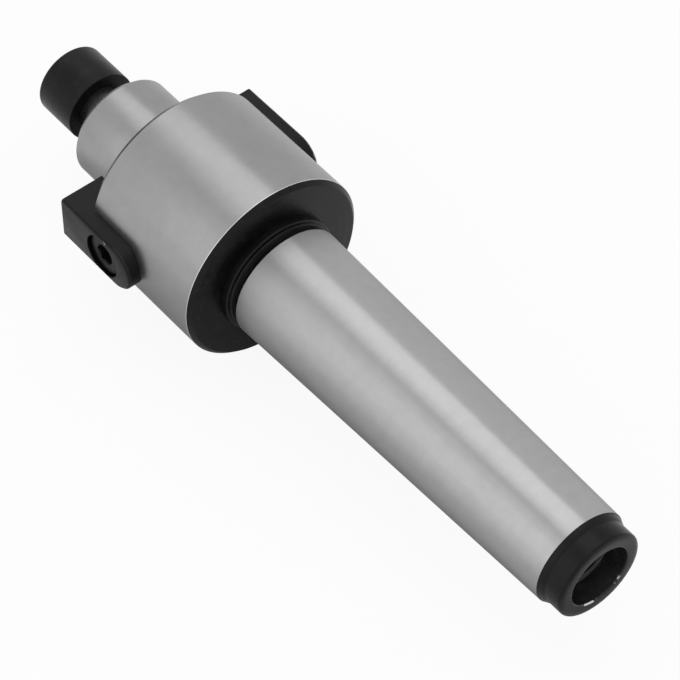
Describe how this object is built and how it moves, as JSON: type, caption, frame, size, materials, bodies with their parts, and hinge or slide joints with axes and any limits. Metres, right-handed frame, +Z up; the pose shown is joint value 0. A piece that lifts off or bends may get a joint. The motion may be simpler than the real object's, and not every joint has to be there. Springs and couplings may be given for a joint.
{
  "type": "shell mill arbor",
  "caption": "Morse taper shell mill arbor with a stub spigot, a flange with bolted drive keys and a socket head retaining screw.",
  "frame": {"origin": "centre of the flange's front face, the cutter's seat, on the arbor's axis", "axes": "+X along the axis towards the shank's threaded end, so the spigot points to -X; the drive keys lie on the Y axis; +Z up"},
  "size_m": [0.1531, 0.0454, 0.04],
  "materials": {
    "ground_steel": "satin ground on the spigot, flange rim, front face and taper, blackened elsewhere",
    "black_key_steel": "blackened, satin",
    "black_screw_steel": "black oxide, semi-gloss"
  },
  "bodies": {
    "arbor_body": {"arbor": "ground_steel"},
    "screw_body": {"retaining_screw": "black_screw_steel"},
    "key_body_1": {"drive_key_1": "black_key_steel"},
    "key_body_2": {"drive_key_2": "black_key_steel"},
    "key_screw_body_1": {"key_screw_1": "black_screw_steel"},
    "key_screw_body_2": {"key_screw_2": "black_screw_steel"}
  },
  "joints": [
    {"name": "retaining_screw_travel", "type": "slide", "parent": "arbor_body", "child": "screw_body", "axis": [-1, 0, 0], "range_m": [-0.00525, 0.0142]},
    {"name": "key_1_lift", "type": "slide", "parent": "arbor_body", "child": "key_body_1", "axis": [0, -1, 0], "range_m": [0, 0.0075]},
    {"name": "key_2_lift", "type": "slide", "parent": "arbor_body", "child": "key_body_2", "axis": [0, 1, 0], "range_m": [0, 0.0075]},
    {"name": "key_screw_1_travel", "type": "slide", "parent": "key_body_1", "child": "key_screw_body_1", "axis": [0, -1, 0], "range_m": [0, 0.0043]},
    {"name": "key_screw_2_travel", "type": "slide", "parent": "key_body_2", "child": "key_screw_body_2", "axis": [0, 1, 0], "range_m": [0, 0.0043]}
  ]
}
